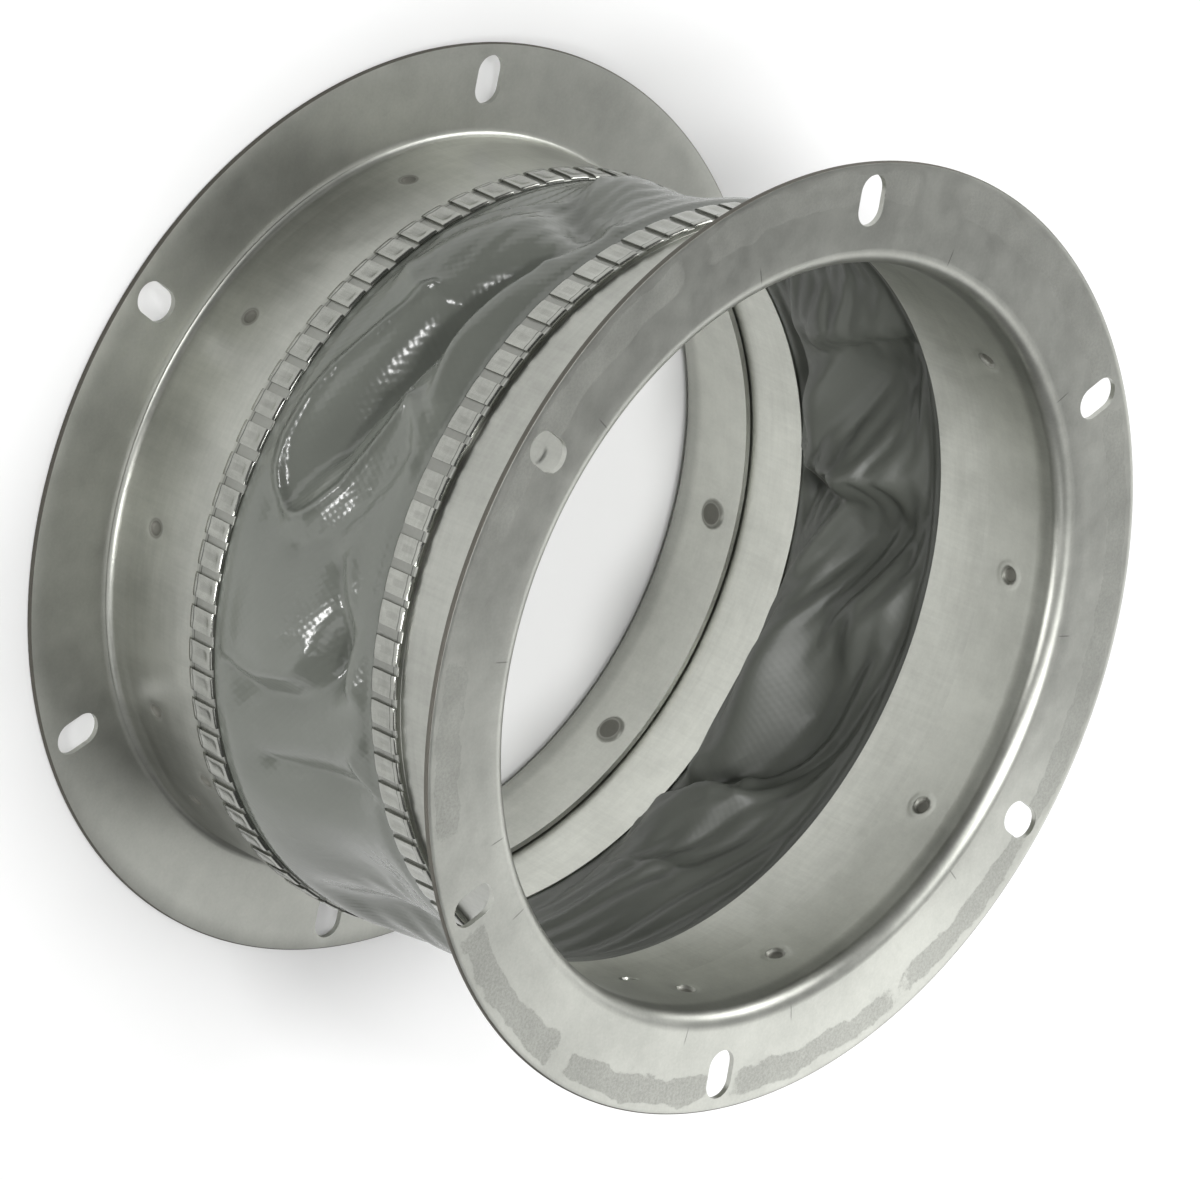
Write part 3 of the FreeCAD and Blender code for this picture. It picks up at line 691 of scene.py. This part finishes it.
def stain(n, vector, turn, radius):
    """Ragged patches of a dull gasket mark on the front flange's face, 1 where the mark is."""
    round_way = 0.0
    for first, last, soft, strength in STAIN_PATCHES:
        patch = n.math("MULTIPLY", window(n, first, last, soft, turn), strength)
        round_way = n.math("MAXIMUM", round_way, patch)
    ragged = noise(n, vector, 0.5, 8.0, 0.8)
    mottled = n.smooth(0.35, 0.65, noise(n, vector, 1.2, 5.0, 0.75))
    broad = noise(n, vector, 0.09, 3.0)
    shift = n.math("MULTIPLY", n.math("SUBTRACT", broad, 0.5), 7.0)
    across = window(n, STAIN_IN, STAIN_OUT, 1.1, n.math("ADD", radius, shift))
    whole = n.math("MULTIPLY", across, round_way)
    lifted = n.math("ADD", whole, n.math("MULTIPLY", n.math("SUBTRACT", ragged, 0.55), 1.5))
    patches = n.smooth(0.4, 0.6, lifted)
    return n.math("MULTIPLY", patches, n.math("ADD", 0.35, n.math("MULTIPLY", mottled, 0.65)))


def tool_marks(n, turn, radius):
    """Short dark radial scores beside the bend."""
    total = 0.0
    for angle in SCORES_AT:
        mark = n.math("COMPARE", turn, float((angle + 180) % 360 - 180), 0.1)
        total = n.math("MAXIMUM", total, mark)
    return n.math("MULTIPLY", total, window(n, 104.2, 108.0, 1.0, radius))


def clinch_darkening(n, end, turn, height, within):
    """Darker grey on the clinch points: 1 in the middle of each, less in a thin ring round it."""
    nearest = 50.0
    for centre, level in clinches(end, False):
        wrapped = float((centre + 180) % 360 - 180)
        away = n.math("MULTIPLY", n.math("SUBTRACT", turn, wrapped), math.radians(1) * SLEEVE_IN)
        rise = n.math("SUBTRACT", height, level)
        squares = n.math("ADD", n.math("MULTIPLY", away, away), n.math("MULTIPLY", rise, rise))
        nearest = n.math("MINIMUM", nearest, n.math("SQRT", squares))
    wider = {"front": 0.0, "back": 0.35}[end]
    nearest = n.math("MULTIPLY", nearest,
                     n.math("SUBTRACT", 1.0, n.math("MULTIPLY", within, wider)))
    ring = n.math("MULTIPLY", window(n, 1.9, 2.7, 0.35, nearest), 0.7)
    return n.math("MAXIMUM", ring, window(n, -1.0, 2.1, 0.3, nearest))


def metal(end, part, marks=False):
    """Galvanised sheet: cloudy, finely speckled, with rolling streaks and its marks; painted lighter inside,
    as painted light.
    """
    outside, inside, rough, rough_spread, streaks, waviness = ZINC_FINISH_AND_PAINTED_LIGHT[f"{end}_{part}"]
    material, n, shader = new_material(f"{end}_{part}_zinc")
    vector, turn, radius, height = ring_space(n, end)
    cloudy = noise(n, vector, 0.028, 4.0, 0.6)
    blotches = noise(n, vector, 0.12, 5.0, 0.65)
    speckle = noise(n, vector, 1.3, 2.0)
    hatched = noise(n, stretched(n, vector, 1.0, 1.0, 0.06), 0.9, 3.0, 0.6)
    rolled = noise(n, stretched(n, vector, 0.04, 0.04, 1.0), 0.6, 3.0, 0.6)
    share = n.math("MULTIPLY", cloudy, 0.4)
    for layer, weight in ((blotches, 0.25), (speckle, 0.1), (hatched, streaks), (rolled, streaks)):
        share = n.math("ADD", share, n.math("MULTIPLY", layer, weight))
    middle = (0.75 + 2 * streaks) / 2
    share = n.smooth(middle - 0.22, middle + 0.22, share)
    walled = n.smooth(6.0, 9.0, height)
    within = n.math("MULTIPLY", n.math("LESS_THAN", radius, INSIDE_LIMIT), walled)
    # Painted light: walls seen from inside get lighter tones than the same sheet outside.
    dark = blend_colours(n, within, grey(outside[0]), grey(inside[0]))
    light = blend_colours(n, within, grey(outside[1]), grey(inside[1]))
    colour = blend_colours(n, share, dark, light)
    # Clinch points turn darker grey in their middles and in a thin ring round each.
    clinch_dark = clinch_darkening(n, end, turn, height, within)
    clinch_dark = n.math("MULTIPLY", clinch_dark, n.smooth(9.0, 11.0, height))
    if end == "front":
        clinch_dark = n.math("MULTIPLY", clinch_dark, within)
    colour = blend_colours(n, n.math("MULTIPLY", clinch_dark, 0.75), colour, CLINCH_TONE)
    # Painted shade: the hem between the tabs, the tabs' sides and their lowered parts are darkened to about
    # the cloth's grey.
    recess_shade = n.math("MULTIPLY", window(n, HEM_IN, TAB_OUT - 0.35, 0.1, radius),
                    window(n, SEAM_NEAR + 0.8, SEAM_FAR + 1, 0.1, height))
    colour = blend_colours(n, n.math("MULTIPLY", recess_shade, 0.55), colour, grey(0.17))
    # Painted shade: a thin dark line across the tabs and hem just past the near fold's rounding, where the
    # fold creases.
    fold_shade_line = n.math("MULTIPLY", window(n, SEAM_NEAR + 1.65, SEAM_NEAR + 1.95, 0.08, height),
                       n.math("GREATER_THAN", radius, HEM_IN + 0.1))
    colour = blend_colours(n, n.math("MULTIPLY", fold_shade_line, 0.75), colour, grey(0.05))
    roughness = n.math("ADD", rough, n.math("MULTIPLY", n.math("SUBTRACT", blotches, 0.5), rough_spread))
    cut_edge = n.smooth(RIM - 0.4, RIM - 0.2, radius)
    colour = blend_colours(n, n.math("MULTIPLY", cut_edge, 0.8), colour, BARE_EDGE)
    bend = n.math("MULTIPLY", window(n, BORE + 0.3, BEND, 0.3, radius),
                  n.math("LESS_THAN", height, FLARE_END))
    for share_of, more in ((clinch_dark, 0.3), (within, 0.02), (bend, 0.08), (cut_edge, 0.4)):
        roughness = n.math("ADD", roughness, n.math("MULTIPLY", share_of, more))
    if marks:
        face = n.math("LESS_THAN", height, 0.3)
        stained = n.math("MULTIPLY", stain(n, vector, turn, radius), face)
        colour = blend_colours(n, n.math("MULTIPLY", stained, 0.42), colour, grey(0.2))
        roughness = n.math("ADD", roughness, n.math("MULTIPLY", stained, 0.12))
        scored = n.math("MULTIPLY", tool_marks(n, turn, radius), face)
        colour = blend_colours(n, n.math("MULTIPLY", scored, 0.55), colour, grey(0.1))
    n.put(shader.inputs["Base Color"], colour)
    n.put(shader.inputs["Roughness"], roughness)
    shader.inputs["Metallic"].default_value = 1.0
    waves = n.math("MULTIPLY", noise(n, vector, 0.045, 2.0), waviness)
    bumped(n, shader, n.math("ADD", waves, n.math("MULTIPLY", hatched, HATCH_HEIGHT)))
    return material


def coated_cloth(side):
    """Grey coated cloth: glossy outside, with its weave embossed, and dull and darker inside."""
    (dark, light), rough, strength = CLOTH_FINISHES[side]
    material, n, shader = new_material(f"cloth_{side}")
    vector = ring_space(n, "back")[0]
    cloudy = noise(n, vector, 0.03, 3.0)
    n.put(shader.inputs["Base Color"],
          blend_colours(n, cloudy, grey(dark, CLOTH_GREEN), grey(light, CLOTH_GREEN)))
    shader.inputs["Roughness"].default_value = rough
    cut = n.add("ShaderNodeUVMap", uv_map="cut")
    u, v, _ = n.split(cut.outputs[0])
    threads = [n.math("SINE", n.math("MULTIPLY", way, math.tau / WEAVE_PITCH)) for way in (u, v)]
    weave = n.math("MULTIPLY", threads[0], threads[1])
    crumple = noise(n, vector, 0.22, 2.0)
    height_map = n.math("ADD", n.math("MULTIPLY", weave, WEAVE_HEIGHT),
                        n.math("MULTIPLY", crumple, CRUMPLE_HEIGHT))
    if side == "outside":
        for row in RIM_LINES:
            rim = rim_line(n, u, v, CREASES[row][-1])
            height_map = n.math("ADD", height_map, n.math("MULTIPLY", rim, RIM_HEIGHT))
    bumped(n, shader, height_map, strength)
    return material


def rim_line(n, u, v, points):
    """1 on a crease's edge, falling off to its sides, from the cut cloth's coordinates in millimetres."""
    scale = (math.radians(1) * CLOTH_RADIUS, CLOTH_LENGTH)
    ends = [(turn * scale[0], place * scale[1]) for turn, place in points]
    nearest = 50.0
    for start, end in zip(ends, ends[1:]):
        span = (end[0] - start[0], end[1] - start[1])
        squared = span[0] ** 2 + span[1] ** 2
        across = n.math("SUBTRACT", u, start[0])
        along = n.math("SUBTRACT", v, start[1])
        dot = n.math("ADD", n.math("MULTIPLY", across, span[0] / squared),
                     n.math("MULTIPLY", along, span[1] / squared))
        share = n.math("MINIMUM", n.math("MAXIMUM", dot, 0.0), 1.0)
        across = n.math("SUBTRACT", across, n.math("MULTIPLY", share, span[0]))
        along = n.math("SUBTRACT", along, n.math("MULTIPLY", share, span[1]))
        squares = n.math("ADD", n.math("MULTIPLY", across, across), n.math("MULTIPLY", along, along))
        nearest = n.math("MINIMUM", nearest, squares)
    return n.math("EXPONENT", n.math("MULTIPLY", nearest, -1 / RIM_WIDTH ** 2))


def fold_offset(turn, place):
    """How far the folds move the cloth outwards, for arrays of turns and places."""
    edge = np.minimum(place, 1 - place)
    total = 0 * turn
    for middle, middle_place, reach_round, reach_along, lean, height in FOLDS:
        along = place - middle_place
        away = (turn - middle - lean * along + 180) % 360 - 180
        total = total + height * np.exp(-(away / reach_round) ** 2 - (along / reach_along) ** 2)
    total = FOLD_HEIGHT * total * smooth(0, SEAM_MARGIN, edge)
    return total + SHOULDER_RISE * smooth(0, SHOULDER_SHARE, edge)


def crease_distance(turn, place, points):
    """Distance in millimetres from a line of points, measured on the unrolled cloth."""
    scale = np.array((math.radians(1) * CLOTH_RADIUS, CLOTH_LENGTH))
    here = np.stack((turn, place), axis=-1) * scale
    nearest = np.full(turn.shape, 1e3)
    for start, end in zip(points, points[1:]):
        start, end = np.array(start) * scale, np.array(end) * scale
        span = end - start
        share = np.clip(((here - start) @ span) / (span @ span), 0, 1)[..., None]
        nearest = np.minimum(nearest, np.linalg.norm(here - start - span * share, axis=-1))
    return nearest


def press_creases(piece):
    """Move the cloth outwards or inwards along its creases; its UV map tells each point's turn and place."""
    mesh = piece.data
    corners = np.empty(len(mesh.loops) * 2)
    mesh.uv_layers["cut"].uv.foreach_get("vector", corners)
    owners = np.empty(len(mesh.loops), dtype=int)
    mesh.loops.foreach_get("vertex_index", owners)
    cut = np.empty((len(mesh.vertices), 2))
    cut[owners] = corners.reshape(-1, 2)
    angle, place = cut[:, 0] / CLOTH_RADIUS, cut[:, 1] / CLOTH_LENGTH
    total = 0 * angle
    for height, width, tip, points in CREASES:
        away = crease_distance(np.degrees(angle), place, points)
        total = total + height * np.exp((tip - np.hypot(away, tip)) / width)
    total = total * smooth(0, CREASE_MARGIN, np.minimum(place, 1 - place))
    corners = np.empty(len(mesh.vertices) * 3)
    mesh.vertices.foreach_get("co", corners)
    outwards = np.stack((np.cos(angle), np.sin(angle), 0 * angle), axis=-1)
    corners += (outwards * total[:, None] * MM).ravel()
    mesh.vertices.foreach_set("co", corners)
    mesh.update()


def placed(ring, points):
    """Points of a ring's frame, as an array, in the back ring's frame."""
    matrix = np.array(RINGS[ring])
    return points @ matrix[:3, :3].T + matrix[:3, 3]


def cloth_wall(turn, place):
    """Points on the slack cloth between the seams, for arrays of turns and places."""
    angle = np.radians(turn)
    outwards = np.stack((np.cos(angle), np.sin(angle), 0 * angle), axis=-1)
    start = placed("back", outwards * CLOTH_RADIUS + (0, 0, SEAM_FAR))
    end = placed("front", outwards * (1, -1, 1) * CLOTH_RADIUS + (0, 0, SEAM_FAR))
    length = np.linalg.norm(end - start, axis=-1, keepdims=True)
    axis = np.array(RINGS["front"])[:3, 2]
    share = place[..., None]
    rise = smooth(0, 1, share)
    middle = start * (1 - rise) + end * rise
    middle = middle + length * share * (1 - share) ** 2 * np.array((0, 0, 1))
    middle = middle + length * share ** 2 * (1 - share) * axis
    return middle + outwards * fold_offset(turn, place)[..., None]


def cloth_edge(ring, angle, depth):
    """Row of points of the cloth's edge, at a depth in a seam."""
    side = 1 if ring == "back" else -1
    row = np.stack((CLOTH_RADIUS * np.cos(angle), side * CLOTH_RADIUS * np.sin(angle),
                    0 * angle + SEAM_FAR - depth), axis=-1)
    return placed(ring, row)


def canvas():
    """Cloth tube between the seams: cut straight, then pushed together until it buckles."""
    turns = np.arange(CLOTH_COLUMNS) * 360 / CLOTH_COLUMNS
    places = np.linspace(0, 1, CLOTH_ROWS + 1)
    turn, place = np.meshgrid(turns, places, indexing="ij")
    angle = np.radians(turns)
    edges = {ring: [cloth_edge(ring, angle, depth) for depth in (POCKET_DEPTH, POCKET_DEPTH / 2)]
             for ring in RINGS}
    wall = np.moveaxis(cloth_wall(turn, place), 1, 0)
    heights = np.array([-POCKET_DEPTH, -POCKET_DEPTH / 2, *(CLOTH_LENGTH * places),
                        CLOTH_LENGTH + POCKET_DEPTH / 2, CLOTH_LENGTH + POCKET_DEPTH])
    closed = np.stack([*edges["back"], *wall, *edges["front"][::-1]], axis=1)
    shares = np.clip(heights / CLOTH_LENGTH, 0, 1)
    seeds = CLOTH_RADIUS + SEED_SHARE * fold_offset(turns[:, None] + 0 * shares, shares + 0 * turns[:, None])
    cut = np.stack((seeds * np.cos(angle)[:, None], seeds * np.sin(angle)[:, None],
                    SEAM_FAR + heights + 0 * seeds), axis=-1)
    columns, count = closed.shape[:2]
    index = np.arange(columns * count).reshape(columns, count)
    after = np.roll(index, -1, axis=0)
    quads = np.stack((index[:, :-1], after[:, :-1], after[:, 1:], index[:, 1:]), axis=-1).reshape(-1, 4)
    mesh = bpy.data.meshes.new("canvas")
    shape = cut
    mesh.from_pydata((shape.reshape(-1, 3) * MM).tolist(), [], quads.tolist())
    mesh.shade_smooth()
    along = np.stack((np.repeat(angle * CLOTH_RADIUS, count), np.tile(heights, columns)), axis=-1)
    corners = along[quads.ravel()].reshape(-1, 4, 2)
    # the faces that close the tube end at its whole width, not at 0
    last = np.isclose(corners[:, 1, 0], 0)
    corners[last, 1:3, 0] = math.tau * CLOTH_RADIUS
    mesh.uv_layers.new(name="cut").uv.foreach_set("vector", corners.ravel())
    piece = link("canvas", mesh, coated_cloth("outside"))
    mesh.materials.append(coated_cloth("inside"))
    buckle(piece, index, closed.reshape(-1, 3) * MM)
    rounder = piece.modifiers.new("rounder", "SUBSURF")
    rounder.levels = rounder.render_levels = 1
    rounder.uv_smooth = "NONE"
    apply_modifiers(piece)
    press_creases(piece)
    body = piece.modifiers.new("thickness", "SOLIDIFY")
    body.thickness = CLOTH_SHEET * MM
    body.offset = 0
    body.material_offset = 1
    body.material_offset_rim = 0
    apply_modifiers(piece)
    finish_piece(piece, "canvas_sleeve")


def buckle(piece, index, closed):
    """Push the cloth's two edges to their places in the seams and let the wall between find its folds."""
    piece.shape_key_add(name="Basis")
    push = piece.shape_key_add(name="closed")
    push.data.foreach_set("co", closed.ravel())
    push.value = 0
    push.keyframe_insert("value", frame=1)
    push.value = 1
    push.keyframe_insert("value", frame=PUSH_FRAMES)
    held = piece.vertex_groups.new(name="held")
    turns = np.arange(len(index)) * 360 / len(index)
    firm = 1 - smooth(*HOLD_TURNS, turns)
    for column, share in zip(index, firm):
        held.add(column[3:-3].tolist(), float(SLACK_HOLD + (FOLD_HOLD - SLACK_HOLD) * share), "REPLACE")
    edges = np.concatenate((index[:, :3].ravel(), index[:, -3:].ravel()))
    held.add(edges.tolist(), 1.0, "REPLACE")
    cloth = piece.modifiers.new("buckle", "CLOTH")
    settings = cloth.settings
    settings.vertex_group_mass = "held"
    for setting, value in CLOTH_SETTINGS.items():
        setattr(settings, setting, value)
    settings.effector_weights.gravity = 0
    cloth.collision_settings.use_self_collision = True
    cloth.collision_settings.self_distance_min = CLOTH_SHEET * MM
    cloth.point_cache.frame_start = 1
    cloth.point_cache.frame_end = CLOTH_FRAMES
    scene = bpy.context.scene
    for number in range(1, CLOTH_FRAMES + 1):
        scene.frame_set(number)
    apply_modifiers(piece)
    scene.frame_set(1)


def stage():
    """Pale floor and a faint, even world light."""
    bpy.ops.mesh.primitive_plane_add(size=12, location=(0, 0, 0))
    floor = bpy.context.object
    floor.name = "floor"
    material, _, shader = new_material("pale_floor")
    shader.inputs["Base Color"].default_value = (0.9, 0.9, 0.9, 1)
    shader.inputs["Roughness"].default_value = 0.9
    floor.data.materials.append(material)
    world = bpy.data.worlds.new("studio")
    bpy.context.scene.world = world
    world.use_nodes = True
    world.node_tree.nodes["Background"].inputs["Color"].default_value = (0.75, 0.76, 0.75, 1)
    world.node_tree.nodes["Background"].inputs["Strength"].default_value = 0.16


def area_light(name, place, target, size, power):
    data = bpy.data.lights.new(name, "AREA")
    data.shape = "RECTANGLE"
    data.size, data.size_y = size
    data.energy = power
    light = bpy.data.objects.new(name, data)
    bpy.context.scene.collection.objects.link(light)
    light.location = place
    light.rotation_euler = (Vector(target) - Vector(place)).to_track_quat("-Z", "Y").to_euler()
    light.visible_camera = False


def studio_lights():
    """Soft lights round the duct."""
    for light in LIGHTS:
        area_light(*light)


def camera():
    """Camera that sees the duct from the photograph's side, at its distance and with its roll."""
    right = Vector(VIEW_RIGHT)
    down = Vector(VIEW_DOWN)
    forward = right.cross(-down) * -1
    data = bpy.data.cameras.new("camera")
    data.sensor_fit = "HORIZONTAL"
    data.sensor_width = 36
    data.lens = VIEW_LENS
    data.clip_end = 50
    eye = bpy.data.objects.new("camera", data)
    bpy.context.scene.collection.objects.link(eye)
    turn = Matrix((right, -down, -forward)).transposed().to_4x4()
    eye.matrix_world = Matrix.Translation(VIEW_FROM) @ turn
    bpy.context.scene.camera = eye


stage()
studio_lights()
camera()
bpy.context.scene.view_settings.view_transform = "Standard"
for ring_end in RINGS_BUILT:
    flange(ring_end, metal(ring_end, "flange", marks=ring_end == "front"))
for ring_end in RINGS_BUILT:
    sleeve(ring_end, metal(ring_end, "sleeve"), metal(ring_end, "seam"))
canvas()
